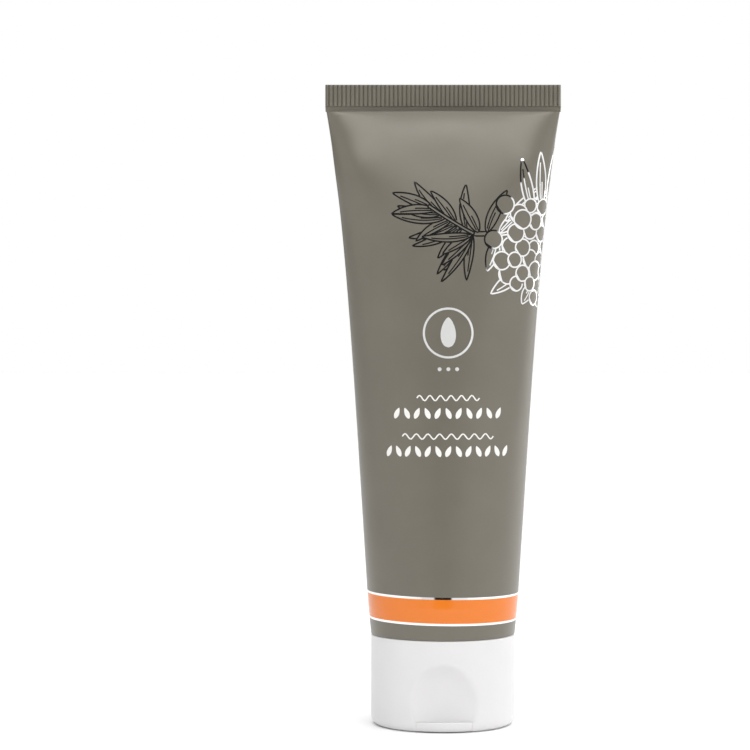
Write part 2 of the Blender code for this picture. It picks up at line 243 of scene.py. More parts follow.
def surface(
    name, colour, roughness, metallic=0.0, spread=0.04, grain=1800.0, relief=0.01 * MM, coat=0.0
):
    """A moulded or printed surface: faint mottling, uneven gloss and a fine relief."""
    mat, shader = new_material(name, colour, roughness, metallic)
    shader.inputs["Coat Weight"].default_value = coat
    shader.inputs["Coat Roughness"].default_value = 0.12
    cloud = object_noise(mat, grain / 18)  # mottling, much coarser than the grain
    fine = object_noise(mat, grain, detail=5.0)
    vary_colour(mat, shader, cloud, shade(colour, 1 - spread), shade(colour, 1 + spread))
    vary_roughness(mat, shader, fine, roughness * 0.85, min(1.0, roughness * 1.15))
    add_bump(mat, shader, fine, relief)
    return mat


SLEEVE_GREY = surface(
    "sleeve_grey", (0.157, 0.144, 0.115), 0.33, metallic=0.15, relief=0.005 * MM)
BAND_ORANGE = surface("band_orange", (0.765, 0.193, 0.015), 0.13, spread=0.02, relief=0.002 * MM)
FOIL = surface(
    "silver_foil", (0.95, 0.95, 0.95), 0.04, metallic=1.0, spread=0.02, relief=0.001 * MM)
INK_SILVER = surface(
    "silver_ink", (0.86, 0.86, 0.85), 0.34, metallic=0.55, spread=0.02, relief=0.004 * MM)
INK_WHITE = surface("ink_white", (0.80, 0.79, 0.76), 0.45, spread=0.02, relief=0.004 * MM)
SLEEVE_LINER = surface("sleeve_liner", (0.62, 0.62, 0.6), 0.4, spread=0.03)
CAP_WHITE = surface(
    "cap_white", (0.705, 0.697, 0.70), 0.34,
    spread=0.012, grain=2600.0, relief=0.008 * MM, coat=0.1)
HEAD_WHITE = surface("head_white", (0.76, 0.76, 0.74), 0.42, spread=0.02)
INSERT_WHITE = surface("insert_white", (0.70, 0.71, 0.71), 0.4, spread=0.03)
SEAL_SILVER = surface(
    "seal_silver", (0.82, 0.82, 0.84), 0.28, metallic=1.0, grain=3000.0, relief=0.02 * MM)
CREAM = surface("cream", (0.90, 0.885, 0.84), 0.45, spread=0.02, grain=500.0, relief=0.06 * MM)


# ---------------------------------------------------------------- mesh helpers

def mesh_object(name, verts, faces, materials, face_slots=None, sharp_deg=SHARP_DEG):
    mesh = bpy.data.meshes.new(name)
    mesh.from_pydata([tuple(v) for v in verts], [], faces)
    for mat in materials:
        mesh.materials.append(mat)
    if face_slots is not None:
        mesh.polygons.foreach_set("material_index", face_slots)
    bm = bmesh.new()
    bm.from_mesh(mesh)
    bmesh.ops.recalc_face_normals(bm, faces=bm.faces)
    bm.to_mesh(mesh)
    bm.free()
    mesh.shade_smooth()
    mesh.set_sharp_from_angle(angle=math.radians(sharp_deg))
    obj = bpy.data.objects.new(name, mesh)
    bpy.context.scene.collection.objects.link(obj)
    return obj


def ring_faces(rows, columns, close_rows=False):
    """Quads between rows of a ring-shaped grid; close_rows joins the last row to the first."""
    faces = []
    last = rows if close_rows else rows - 1
    for i in range(last):
        here, there = i * columns, ((i + 1) % rows) * columns
        for j in range(columns):
            k = (j + 1) % columns
            faces.append((here + j, here + k, there + k, there + j))
    return faces


def arc(centre, radius, start_deg, end_deg, count):
    points = []
    for i in range(count + 1):
        angle = math.radians(start_deg + (end_deg - start_deg) * i / count)
        points.append((centre[0] + radius * math.cos(angle), centre[1] + radius * math.sin(angle)))
    return points


def place(obj, body, slot, *nodes):
    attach(obj, body)
    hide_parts(*nodes)


# ---------------------------------------------------------------- the sleeve's surface

def smoothstep(x):
    x = np.clip(x, 0.0, 1.0)
    return x * x * (3 - 2 * x)


def half_width(z):
    below = np.clip((z - SLEEVE_BOTTOM) / (ROUND_TOP - SLEEVE_BOTTOM), 0, 1)
    above = np.clip((z - ROUND_TOP) / FLARE_HEIGHT, 0, 1)
    round_part = SLEEVE_END_RADIUS + (SLEEVE_RADIUS - SLEEVE_END_RADIUS) * below
    flared_part = SLEEVE_RADIUS + FLARE_EVEN * above + FLARE_LATE * above**5
    return np.where(z < ROUND_TOP, round_part, flared_part)


def half_depth(z):
    """The sheet doesn't stretch, so every section keeps the round end's perimeter."""
    a = half_width(z)
    low, high = np.zeros_like(a), np.full_like(a, SLEEVE_RADIUS)
    for _ in range(36):
        b = (low + high) / 2
        length = math.pi * (3 * (a + b) - np.sqrt((3 * a + b) * (a + 3 * b)))
        short = length < PERIMETER
        low, high = np.where(short, b, low), np.where(short, high, b)
    b = np.where(z < ROUND_TOP, a, low)
    return b + (LEDGE_HALF_DEPTH - b) * ledge_share(z)


def ledge_share(z):
    """0 below the ledge under the crimp, 1 above it."""
    return smoothstep((z - LEDGE_START) / (LEDGE_END - LEDGE_START))


def arc_table():
    """For even heights, the ellipse angle at even fractions of a quarter's arc length."""
    z = np.linspace(SLEEVE_BOTTOM, LEDGE_END + 0.4 * MM, TABLE_ROWS)
    a, b = half_width(z), half_depth(z)
    angles = np.linspace(0, math.pi / 2, TABLE_COLUMNS)
    x, y = np.outer(a, np.sin(angles)), np.outer(b, np.cos(angles))
    pieces = np.hypot(np.diff(x, axis=1), np.diff(y, axis=1))
    length = np.hstack([np.zeros((TABLE_ROWS, 1)), np.cumsum(pieces, axis=1)])
    fractions = np.linspace(0, 1, TABLE_COLUMNS)
    table = [np.interp(fractions * row[-1], row, angles) for row in length]
    return z, a, b, np.array(table)


TABLE_Z, TABLE_A, TABLE_B, TABLE_ANGLE = arc_table()


def hump(x, z, spread):
    return np.exp(-((x / spread[0]) ** 2 + (z / spread[1]) ** 2))


def swell(x, z):
    """The sheet bulges below each corner of the crimp and in the middle just under it."""
    corner = hump(np.abs(x) - CORNER_PLACE[0], z - CORNER_PLACE[1], CORNER_SPREAD)
    middle = hump(x, z - MIDDLE_HEIGHT, MIDDLE_SPREAD)
    return CORNER_SWELL * corner + MIDDLE_SWELL * middle


def sheet_points(u, z, lift=0.0):
    """Places on the sleeve at arc length u from the front centre, towards +X, and height z."""
    u, z = np.broadcast_arrays(np.asarray(u, float), np.asarray(z, float))
    a, b = np.interp(z, TABLE_Z, TABLE_A), np.interp(z, TABLE_Z, TABLE_B)
    turn = (u / PERIMETER) % 1.0 * 4
    quarter = np.minimum(turn.astype(int), 3)
    fraction = np.where(quarter % 2 == 1, 1 - (turn - quarter), turn - quarter)
    row = np.clip((z - TABLE_Z[0]) / (TABLE_Z[1] - TABLE_Z[0]), 0, TABLE_ROWS - 1.001)
    column = np.clip(fraction * (TABLE_COLUMNS - 1), 0, TABLE_COLUMNS - 1.001)
    i, j = row.astype(int), column.astype(int)
    di, dj = row - i, column - j
    low = TABLE_ANGLE[i, j] * (1 - dj) + TABLE_ANGLE[i, j + 1] * dj
    high = TABLE_ANGLE[i + 1, j] * (1 - dj) + TABLE_ANGLE[i + 1, j + 1] * dj
    angle = low * (1 - di) + high * di
    side = np.where(quarter < 2, 1, -1)
    front = np.where((quarter == 0) | (quarter == 3), -1, 1)
    x, y = side * a * np.sin(angle), front * b * np.cos(angle)
    nx, ny = side * np.sin(angle) / a, front * np.cos(angle) / b
    size = np.hypot(nx, ny)
    ledge = ledge_share(z)
    shoulder = SHOULDER_DEPTH * smoothstep((z - SHOULDER_START) / (LEDGE_START - SHOULDER_START))
    shoulder += (LEDGE_HALF_DEPTH - shoulder) * ledge
    shoulder *= np.sqrt(1 - np.minimum(np.abs(x / a), 1) ** 12)  # none at the two side edges
    y = front * (np.abs(y) ** 4 + shoulder**4) ** 0.25
    push = lift + swell(x, z) * np.abs(ny / size) * (1 - ledge)
    return np.stack([x + push * nx / size, y + push * ny / size, z], axis=-1)


def sleeve_ring(z, inset=0.0):
    """One row of the sleeve, tilted near the band so that the band is printed askew."""
    u = PERIMETER * np.arange(COLUMNS) / COLUMNS
    near_band = smoothstep((z - SLEEVE_BOTTOM) / (2 * MM))
    near_band *= smoothstep((BAND_HIGH + 5 * MM - z) / (4 * MM))
    askew = BAND_SLANT * near_band * SLEEVE_RADIUS * np.sin(u / SLEEVE_RADIUS)
    return sheet_points(u, z - askew, -inset)


def steps(start, end, size):
    count = max(1, round((end - start) / size))
    return [start + (end - start) * i / count for i in range(count)]


def make_sleeve():
    """The sleeve with its printed band, open at the bottom and with a thin lining inside."""
    foil_low, foil_high = BAND_LOW - FOIL_LINE, BAND_HIGH + FOIL_LINE
    heights = [SLEEVE_BOTTOM, SLEEVE_BOTTOM + 0.12 * MM]
    heights += steps(SLEEVE_BOTTOM + 0.3 * MM, foil_low, 0.8 * MM)
    heights += steps(foil_low, BAND_LOW, 0.25 * MM) + steps(BAND_LOW, BAND_HIGH, 0.9 * MM)
    heights += steps(BAND_HIGH, foil_high, 0.25 * MM) + steps(foil_high, FINE_ROWS_START, 1.5 * MM)
    heights += steps(FINE_ROWS_START, LEDGE_START, 0.9 * MM)
    heights += steps(LEDGE_START, LEDGE_END, 0.05 * MM) + [LEDGE_END, LEDGE_END + 0.3 * MM]
    inner = [z for z in heights if z < LINER_TOP]
    rings = [sleeve_ring(z, SLEEVE_WALL) for z in reversed(inner)]
    rings.append(sleeve_ring(SLEEVE_BOTTOM, 0.15 * MM))
    rings += [sleeve_ring(z) for z in heights[1:]]
    levels = inner[::-1] + heights
    verts = [p for ring in rings for p in ring]
    faces = ring_faces(len(rings), COLUMNS)
    materials = [SLEEVE_GREY, BAND_ORANGE, FOIL, SLEEVE_LINER]
    grey, orange, foil, liner = range(len(materials))
    slots = []
    for i in range(len(rings) - 1):
        middle = (levels[i] + levels[i + 1]) / 2
        if i < len(inner):
            slot = liner
        elif BAND_LOW < middle < BAND_HIGH:
            slot = orange
        elif foil_low < middle < foil_high:
            slot = foil
        else:
            slot = grey
        slots += [slot] * COLUMNS
    faces.append(tuple(range(COLUMNS)))
    faces.append(tuple(range(len(verts) - COLUMNS, len(verts))))
    slots += [liner, grey]
    sleeve = mesh_object("sleeve", verts, faces, materials, slots)
    place(sleeve, "tube", "sleeve_grey", "tube_sleeve")


def make_crimp():
    """The heat-sealed end: a flat strip with pressed vertical ridges on both sides."""
    count = RIDGE_COUNT * RIDGE_SAMPLES
    inner_half = CRIMP_HALF_WIDTH - 0.35 * MM
    x = np.linspace(-inner_half, inner_half, count + 1)
    phase = (np.arange(count + 1) % RIDGE_SAMPLES) / RIDGE_SAMPLES
    valley = np.exp(-(((phase - 0.5) / VALLEY_SHARE) ** 2))
    full = RIDGE_PROUD
    # height, how deep the valleys are there, how far the strip stands out
    rows = [
        (CRIMP_BOTTOM, 0.0, -CRIMP_GROOVE), (RIDGE_START - 0.02 * MM, 0.0, -CRIMP_GROOVE),
        (RIDGE_START, 0.9, 0.08 * MM), (RIDGE_START + 0.2 * MM, 1.0, full),
    ]
    rows += [(z, 1.0, full) for z in steps(RIDGE_START + 1.2 * MM, TUBE_TOP - 0.3 * MM, 1.2 * MM)]
    rows += [
        (TUBE_TOP - 0.25 * MM, 1.0, full), (TUBE_TOP - 0.06 * MM, 0.9, 0.08 * MM),
        (TUBE_TOP, 0.6, -0.02 * MM),
    ]
    verts = []
    side = 0.6 * CRIMP_HALF_DEPTH
    for z, ridges, proud in rows:
        depth = CRIMP_HALF_DEPTH + proud - RIDGE_DEPTH * ridges * valley
        edge = CRIMP_HALF_WIDTH - (0.06 * MM if z in (CRIMP_BOTTOM, TUBE_TOP) else 0.0)
        bevel = edge - CRIMP_BEVEL
        verts.append((-bevel, -side, z))
        verts += [(a, -d, z) for a, d in zip(x, depth)]
        verts += [(bevel, -side, z), (edge, 0.0, z), (bevel, side, z)]
        verts += [(a, d, z) for a, d in zip(x[::-1], depth[::-1])]
        verts += [(-bevel, side, z), (-edge, 0.0, z)]
    columns = len(verts) // len(rows)
    faces = ring_faces(len(rows), columns)
    half = count + 3  # points from the left edge to the right edge on the front
    for base in (0, (len(rows) - 1) * columns):
        front = [base + j for j in range(half)]
        back = [base + columns - 2 - j for j in range(half)]
        for j in range(half - 1):
            faces.append((front[j], front[j + 1], back[j + 1], back[j]))
        faces.append((front[0], back[0], base + columns - 1))
        faces.append((front[-1], base + half, back[-1]))
    crimp = mesh_object("crimp", verts, faces, [SLEEVE_GREY], sharp_deg=50.0)
    place(crimp, "tube", "sleeve_grey", "tube_sleeve")


# ---------------------------------------------------------------- print on the sleeve

class Drawing:
    """Flat shapes and strokes in sheet coordinates (arc length, height) in millimetres."""

    def __init__(self):
        self.places = []  # arc length, height and lift of every point
        self.faces = []

    def add_row(self, row):
        """A loop of points for one cross-section: lifted ones across it, then sunk ones back."""
        start = len(self.places)
        self.places += [(u * MM + PRINT_OFFSET, z * MM, INK_LIFT) for u, z in row]
        self.places += [(u * MM + PRINT_OFFSET, z * MM, -INK_LIFT) for u, z in reversed(row)]
        return start

    def stroke(self, points, width, closed=False):
        points = np.array(points, float)
        if closed:
            ahead, behind = np.roll(points, -1, 0), np.roll(points, 1, 0)
        else:
            ahead = np.vstack([points[1:], points[-1:]])
            behind = np.vstack([points[:1], points[:-1]])
        along = ahead - behind
        along /= np.maximum(np.linalg.norm(along, axis=1, keepdims=True), 1e-9)
        across = np.stack([-along[:, 1], along[:, 0]], 1) * width / MM / 2
        self.join([self.add_row([p + n, p - n]) for p, n in zip(points, across)], 2, closed)

    def fill(self, left, right):
        """A filled shape between two edges with equally many points, in parts so it can curve."""
        across = FILL_PARTS + 1
        rows = [self.add_row(np.linspace(a, b, across).tolist()) for a, b in zip(left, right)]
        self.join(rows, across, False)

    def join(self, rows, across, closed):
        pairs = list(zip(rows, rows[1:]))
        if closed:
            pairs.append((rows[-1], rows[0]))
        size = 2 * across
        for a, b in pairs:
            for i in range(size):
                j = (i + 1) % size
                self.faces.append((a + i, a + j, b + j, b + i))
        if not closed:
            for end in (rows[0], rows[-1]):
                self.faces.append(tuple(range(end, end + size)))

    def build(self, name, mat):
        u, z, lift = np.array(self.places).T
        obj = mesh_object(name, sheet_points(u, z, lift), self.faces, [mat])
        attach(obj, "tube")


def unit_across(points):
    """The direction to the left of a line at each of its points."""
    along = np.gradient(points, axis=0)
    return np.stack([-along[:, 1], along[:, 0]], 1) / np.linalg.norm(along, axis=1, keepdims=True)


def inside(points, outline):
    """Which points lie inside a closed outline."""
    x, y = points[:, 0], points[:, 1]
    result = np.zeros(len(points), bool)
    for (x0, y0), (x1, y1) in zip(outline, np.roll(outline, -1, 0)):
        crosses = (y0 > y) != (y1 > y)
        with np.errstate(divide="ignore", invalid="ignore"):
            at = x0 + (y - y0) * (x1 - x0) / (y1 - y0)
        result ^= crosses & (x < at)
    return result


def leaf(base, angle_deg, length, width, bend_deg=0.0):
    """A pointed leaf, the way it grows from its base: its outline and the lines on it."""
    count = 26
    centre, direction = [np.array(base, float)], math.radians(angle_deg)
    for i in range(count):
        turn = direction + math.radians(bend_deg) * i / count
        centre.append(centre[-1] + np.array([math.cos(turn), math.sin(turn)]) * length / count)
    centre = np.array(centre)
    across = unit_across(centre)
    t = np.linspace(0, 1, count + 1)
    half = width / 2 * np.sin(math.pi * t**0.8) ** 0.8 + 0.02
    left, right = centre + across * half[:, None], centre - across * half[:, None]
    outline = np.vstack([left, right[::-1]])
    vein = centre + across * half[:, None] * 0.28
    fold = centre - across * 0.2
    return outline, [vein[2 : int(count * 0.86)], fold[1 : count // 2]]


def circle(centre, radius, count=44):
    angle = np.linspace(0, TAU, count, endpoint=False)
    return np.stack([centre[0] + radius * np.cos(angle), centre[1] + radius * np.sin(angle)], 1)


def berry(centre, radius, shine_deg):
    """A round berry with a second short arc inside its edge."""
    outline = circle(centre, radius)
    angle = np.radians(np.linspace(shine_deg, shine_deg + 80, 12))
    reach = radius * (1 - 0.16 * np.sin(np.linspace(0, math.pi, 12)))
    shine = np.stack([centre[0] + reach * np.cos(angle), centre[1] + reach * np.sin(angle)], 1)
    return outline, [shine]


def curve_points(a, b, c, count=40):
    """A quadratic curve from a to c, drawn towards b."""
    t = np.linspace(0, 1, count)[:, None]
    return (1 - t) ** 2 * np.array(a) + 2 * t * (1 - t) * np.array(b) + t**2 * np.array(c)


def twig(points, width):
    across = unit_across(points)
    outline = np.vstack([points + across * width / 2, (points - across * width / 2)[::-1]])
    return outline, []


def sprig_shapes():
    """A generic leafy twig with round berries, from the shapes behind to those in front."""
    rng = np.random.default_rng(11)
    stem = curve_points((46.0, 127.0), (26.0, 114.0), (6.0, 114.5))
    spray = curve_points((6.0, 114.5), (2.0, 116.5), (-4.5, 121.0))
    shapes = [twig(stem, 1.0)]
    tip_leaves = ((26, 140, 11.0, -18), (36, 152, 10.0, 14), (18, 118, 9.5, 20), (8, 98, 10.5, -16))
    for at, angle, length, bend in tip_leaves:
        shapes.append(leaf(spray[at], angle, length, 2.3, bend))
    for k in range(9):
        base, length = spray[4 * k + 2], 11.0 + 1.8 * math.sin(2.3 * k)
        shapes.append(leaf(base, 243 - 9.0 * k, length, 2.1, rng.uniform(-30, 30)))
    for k in range(5):
        length = 10.5 + 2.5 * math.sin(1.7 * k)
        shapes.append(leaf((5.6, 114.2), 258 - 17 * k, length, 2.0, rng.uniform(-38, 38)))
    shapes.append(twig(spray, 0.7))
    for at, angle, length in ((9.0, 72, 11.0), (7.0, 112, 9.0), (12.0, 40, 9.5)):
        shapes.append(leaf((at, 114.8), angle, length, 2.7, rng.uniform(-24, 24)))
    for k in range(4):
        shapes.append(leaf((13.5 + 4.0 * k, 117.5 + 1.0 * k), 38 - 5 * k, 13.0, 2.6, 12 - 6 * k))
    for k in range(6):
        shapes.append(leaf((20.5 + 2.4 * k, 119.5 + 1.2 * k), 112 - 12 * k, 13.0, 2.6, -16 + 5 * k))
    low_leaves = (
        (17, 105.5, -146, 8.5), (21, 102.5, -130, 5.0), (11.5, 113, -110, 7.5), (34, 100, -60, 7),
    )
    for u, z, angle, length in low_leaves:
        shapes.append(leaf((u, z), angle, length, 2.9, rng.uniform(-20, 20)))
    spots = [(13.4, 121.3), (10.6, 113.2), (16.8, 119.2)]
    for row in range(9):
        z = 121.0 - row * 3.05
        for column in range(10):
            u = 9.5 + 3.5 * column + (1.75 if row % 2 else 0.0)
            if ((u - 26.0) / 14.0) ** 2 + ((z - 110.4) / 12.0) ** 2 < 1:
                spots.append((u + rng.uniform(-0.6, 0.6), z + rng.uniform(-0.6, 0.6)))
    for angle, length in ((66, 9.0), (-8, 9.5), (28, 12.0)):
        shapes.append(leaf(stem[0], angle, length, 2.8, 12))
    for k in rng.permutation(len(spots)):
        shapes.append(berry(spots[k], rng.uniform(1.6, 2.3), rng.uniform(150, 200)))
    return shapes


def resample(points, closed=False):
    """The same line with points at even distances along it."""
    points = np.vstack([points, points[:1]]) if closed else np.array(points)
    length = np.concatenate([[0.0], np.cumsum(np.linalg.norm(np.diff(points, axis=0), axis=1))])
    count = max(3, int(length[-1] / LINE_STEP))
    at = np.linspace(0, length[-1], count + 1)
    return np.stack([np.interp(at, length, points[:, axis]) for axis in (0, 1)], 1)


def visible_runs(points, covers):
    """The stretches of a line that no shape in front covers."""
    hidden = np.zeros(len(points), bool)
    for outline in covers:
        hidden |= inside(points, outline)
    run, runs = [], []
    for point, gone in zip(points, hidden):
        if gone:
            runs.append(run)
            run = []
        else:
            run.append(point)
    runs.append(run)
    return [r for r in runs if len(r) > 2]


def make_sprig():
    drawing = Drawing()
    shapes = sprig_shapes()
    for i, (outline, details) in enumerate(shapes):
        covers = [other for other, _ in shapes[i + 1 :]]
        for run in visible_runs(resample(outline, closed=True), covers):
            drawing.stroke(run, LINE_WIDTH)
        for detail in details:
            for run in visible_runs(resample(detail), covers):
                drawing.stroke(run, LINE_WIDTH * 0.8)
    drawing.build("foil_sprig", FOIL)


def make_emblem():
    """A plain ring round a drop, with three small dots below."""
    drawing = Drawing()
    drawing.stroke(circle((0.0, EMBLEM_HEIGHT), 5.6, 96), 0.5 * MM, closed=True)
    low, high = -3.3, 3.6
    z = np.linspace(low, high, 28)
    t = (z - low) / (high - low)
    half = 2.55 * np.sqrt(np.clip(t, 0, 1)) * (1 - t) ** 0.72 * 1.55 + 0.03
    left = [(-h, EMBLEM_HEIGHT + dz) for h, dz in zip(half, z)]
    right = [(h, EMBLEM_HEIGHT + dz) for h, dz in zip(half, z)]
    drawing.fill(left, right)
    for k in (-1, 0, 1):
        dot(drawing, (2.0 * k, 83.4), 0.45)
    drawing.build("silver_emblem", INK_SILVER)


def dot(drawing, centre, radius):
    angle = np.linspace(-math.pi / 2, math.pi / 2, 13)
    half, z = radius * np.cos(angle), centre[1] + radius * np.sin(angle)
    least = 0.005  # so that the ends are not pinched to a point
    left = np.stack([centre[0] - half - least, z], 1)
    right = np.stack([centre[0] + half + least, z], 1)
    drawing.fill(left, right)


def leaf_row(drawing, z, width, height):
    """A border of small filled leaves that lean left and right in turn."""
    count = round(width / (height * 0.9))
    for k in range(count):
        u = (k + 0.5) * width / count - width / 2
        lean = 24 if k % 2 else -24
        direction = math.radians(90 + lean)
        reach = height / 2
        start = (u - math.cos(direction) * reach, z - math.sin(direction) * reach)
        outline, _ = leaf(start, 90 + lean, height, height * 0.42)
        half = len(outline) // 2
        drawing.fill(outline[:half], outline[half:][::-1])


def wave_line(drawing, z, width, height):
    u = np.linspace(-width / 2, width / 2, int(width / 0.3))
    waves = round(width / 2.6)
    line = z + height / 2 * np.sin(TAU * waves * (u / width + 0.5))
    drawing.stroke(np.stack([u, line], 1), 0.3 * MM)


def make_ornament():
    """Four plain ornament rows where a label would stand."""
    drawing = Drawing()
    wave_line(drawing, 76.8, 14.5, 1.2)
    leaf_row(drawing, 73.3, 26.5, 2.7)
    wave_line(drawing, 68.0, 21.5, 1.2)
    leaf_row(drawing, 64.6, 30.5, 2.7)
    drawing.build("ink_ornament", INK_WHITE)


# ---------------------------------------------------------------- cap

def recess_depth(angle, z):
    """How far the finger recess cuts into the cap's outer wall, measured towards the axis."""
    dx, dy = np.sin(angle), -np.cos(angle)  # outward, from the front centre towards +X
    inner = 1 - ((z - RECESS_CENTRE.z) / RECESS_RADII.z) ** 2
    # where the outward line from the axis meets the egg
    qa = (dx / RECESS_RADII.x) ** 2 + (dy / RECESS_RADII.y) ** 2
    qb = -2 * dy * RECESS_CENTRE.y / RECESS_RADII.y**2
    qc = (RECESS_CENTRE.y / RECESS_RADII.y) ** 2 - inner
    root = qb * qb - 4 * qa * qc
    meets = (root > 0) & (np.cos(angle) > 0)
    radius = (-qb - np.sqrt(np.maximum(root, 0))) / (2 * qa)
    depth = np.where(meets, CAP_RADIUS - radius, -3 * MM)
    soft = RECESS_BLEND
    return soft * np.logaddexp(0, depth / soft) * (np.cos(angle) > 0.5)


PLAIN, CARVED_OUTSIDE, CARVED_INSIDE = range(3)  # whether the finger recess shifts a wall


def cap_profile():
    """(radius, height, kind) down the outside and back up the inside."""
    edge, rim = 0.3 * MM, 0.2 * MM
    top_round = arc((CAP_RADIUS - edge, CAP_TOP - edge), edge, 75, 0, 4)
    wall = reversed(steps(DECK_BOTTOM, CAP_TOP - 0.4 * MM, 0.3 * MM))
    foot = arc((CAP_RADIUS - FOOT_RADIUS, FOOT_RADIUS), FOOT_RADIUS, 0, -90, 12)
    foot += arc((RIM_INNER + rim, rim), rim, 270, 180, 3)
    inner = [
        (RIM_INNER, DECK_BOTTOM),
        (SPOUT_OUTER + rim, DECK_BOTTOM), (SPOUT_OUTER, DECK_BOTTOM - rim),
        (SPOUT_OUTER, SPOUT_BOTTOM + edge), (SPOUT_OUTER - edge, SPOUT_BOTTOM),
        (SPOUT_INNER + rim, SPOUT_BOTTOM), (SPOUT_INNER, SPOUT_BOTTOM + rim),
        (SPOUT_INNER, DECK_TOP), (COLLAR_INNER, DECK_TOP), (COLLAR_INNER, COLLAR_TOP - rim),
        (COLLAR_INNER + rim, COLLAR_TOP), (COLLAR_OUTER - rim, COLLAR_TOP),
        (COLLAR_OUTER, COLLAR_TOP - rim), (COLLAR_OUTER, DECK_TOP),
    ]
    skirt = [DECK_TOP, *steps(DECK_TOP + 0.5 * MM, CAP_TOP - 0.1 * MM, 0.9 * MM), CAP_TOP]
    points = [(CAP_RADIUS - edge, CAP_TOP, CARVED_OUTSIDE)]
    points += [(r, z, CARVED_OUTSIDE) for r, z in top_round]
    points += [(CAP_RADIUS, z, CARVED_OUTSIDE) for z in wall]
    points.append((CAP_RADIUS, DECK_BOTTOM - 0.001 * MM, PLAIN))
    points += [(r, z, PLAIN) for r, z in foot + inner]
    points += [(SKIRT_INNER, z, CARVED_INSIDE) for z in skirt]
    return points


def block(name, low, high):
    xs, ys, zs = zip(low, high)
    corners = [(x, y, z) for x in xs for y in ys for z in zs]
    faces = [(0, 1, 3, 2), (4, 6, 7, 5), (0, 4, 5, 1), (2, 3, 7, 6), (0, 2, 6, 4), (1, 5, 7, 3)]
    return mesh_object(name, corners, faces, [CAP_WHITE])


def apply_booleans(obj, tools, operation):
    """Cuts away or keeps what lies in the tools, and bakes the result into the mesh."""
    for tool in tools:
        mod = obj.modifiers.new(tool.name, "BOOLEAN")
        mod.operation = operation
        mod.solver = "EXACT"
        mod.object = tool
    bpy.context.view_layer.update()
    evaluated = obj.evaluated_get(bpy.context.evaluated_depsgraph_get())
    baked = bpy.data.meshes.new_from_object(evaluated)
    obj.modifiers.clear()
    obj.data = baked
    baked.shade_smooth()
    baked.set_sharp_from_angle(angle=math.radians(SHARP_DEG))
    for tool in tools:
        bpy.data.objects.remove(tool)


def turned_points(profile, columns, radius_at=None):
    """Rings of points for a profile of (radius, height, ...) points turned about the axis."""
    angles = np.arange(columns) * TAU / columns
    points = []
    for point in profile:
        r = radius_at(point, angles) if radius_at else np.full(columns, point[0])
        points += [(a, b, point[1]) for a, b in zip(r * np.sin(angles), -r * np.cos(angles))]
    return points


def cap_radius(point, angles):
    """The radius of one ring of the cap, round which the finger recess moves the wall inwards."""
    r, z, kind = point
    base = np.full(len(angles), r)
    if kind == PLAIN:
        return base
    carved = recess_depth(angles, np.full(len(angles), z))
    if kind == CARVED_OUTSIDE:
        return base - carved
    return np.minimum(base, CAP_RADIUS - SKIRT_WALL - carved)


def make_cap_body():
    """The shell, notched for the lid's front lip and back tab, and what it holds inside."""
    profile = cap_profile()
    verts = turned_points(profile, CAP_COLUMNS, cap_radius)
    faces = ring_faces(len(profile), CAP_COLUMNS, close_rows=True)
    shell = mesh_object("cap_shell", verts, faces, [CAP_WHITE])
    far = 2 * CAP_RADIUS
    notch_top = DECK_BOTTOM - 0.0005 * MM
    tools = [
        block("front_cut", (-NOTCH_HALF, -far, -far), (NOTCH_HALF, -8 * MM, notch_top)),
        block("back_cut", (-BACK_NOTCH_HALF, 7 * MM, -far), (BACK_NOTCH_HALF, far, notch_top)),
        block("seat_cut", (-CAP_RADIUS, SEAT_Y, 0.5 * MM), (CAP_RADIUS, far, SEAT_TOP)),
    ]
    apply_booleans(shell, tools, "DIFFERENCE")
    place(shell, "cap", "cap_white", "cap_body")
    make_ribs()
    make_collar_thread()


def make_ribs():
    """Radial ribs between the collar and the skirt."""
    verts, faces = [], []
    for k in range(RIB_COUNT):
        angle = TAU * (k + 0.5) / RIB_COUNT
        out = np.array([math.cos(angle), math.sin(angle)])
        side = np.array([-out[1], out[0]])
        start = len(verts)
        # the same direction for recess_depth, which counts from the front
        turn = np.full(24, math.pi / 2 + angle)
        carved = recess_depth(turn, np.linspace(DECK_TOP, 10.5 * MM, 24)).max()
        inner, outer = COLLAR_OUTER - 0.4 * MM, CAP_RADIUS - SKIRT_WALL + 0.2 * MM - carved
        foot, top = (0.5, 3.8), (0.4, 10.0)  # half thickness and height in millimetres
        for r, (half, z) in ((inner, foot), (outer, foot), (outer, top), (inner, top)):
            for s in (-1, 1):
                p = out * r + side * s * half * MM
                verts.append((p[0], p[1], z * MM))
        for a, b in ((0, 2), (2, 4), (4, 6), (6, 0)):
            faces.append((start + a, start + a + 1, start + b + 1, start + b))
        faces.append((start, start + 2, start + 4, start + 6))
        faces.append((start + 1, start + 7, start + 5, start + 3))
    ribs = mesh_object("cap_ribs", verts, faces, [CAP_WHITE])
    place(ribs, "cap", "cap_white", "cap_body")


def helix(name, start_z, root, crest, root_half, crest_half, mat):
    """A right-handed thread ridge with rounded corners that fades in and out."""
    count = THREAD_STEPS
    towards = 0.1 * MM if crest > root else -0.1 * MM
    corners = (
        (root, -root_half), (crest - towards, -crest_half - 0.1 * MM), (crest, -crest_half),
        (crest, crest_half), (crest - towards, crest_half + 0.1 * MM), (root, root_half),
    )
    verts = []
    for i in range(count + 1):
        angle = TAU * THREAD_TURNS * i / count
        z = start_z + THREAD_PITCH * THREAD_TURNS * i / count
        fade = min(1.0, 8.0 * i / count, 8.0 * (count - i) / count) ** 0.5
        for r, dz in corners:
            radius = root + (r - root) * fade
            verts.append((radius * math.cos(angle), radius * math.sin(angle), z + dz))
    size = len(corners)
    faces = ring_faces(count + 1, size)[: count * size]
    faces += [tuple(range(size)), tuple(range(count * size, (count + 1) * size))]
    return mesh_object(name, verts, faces, [mat])


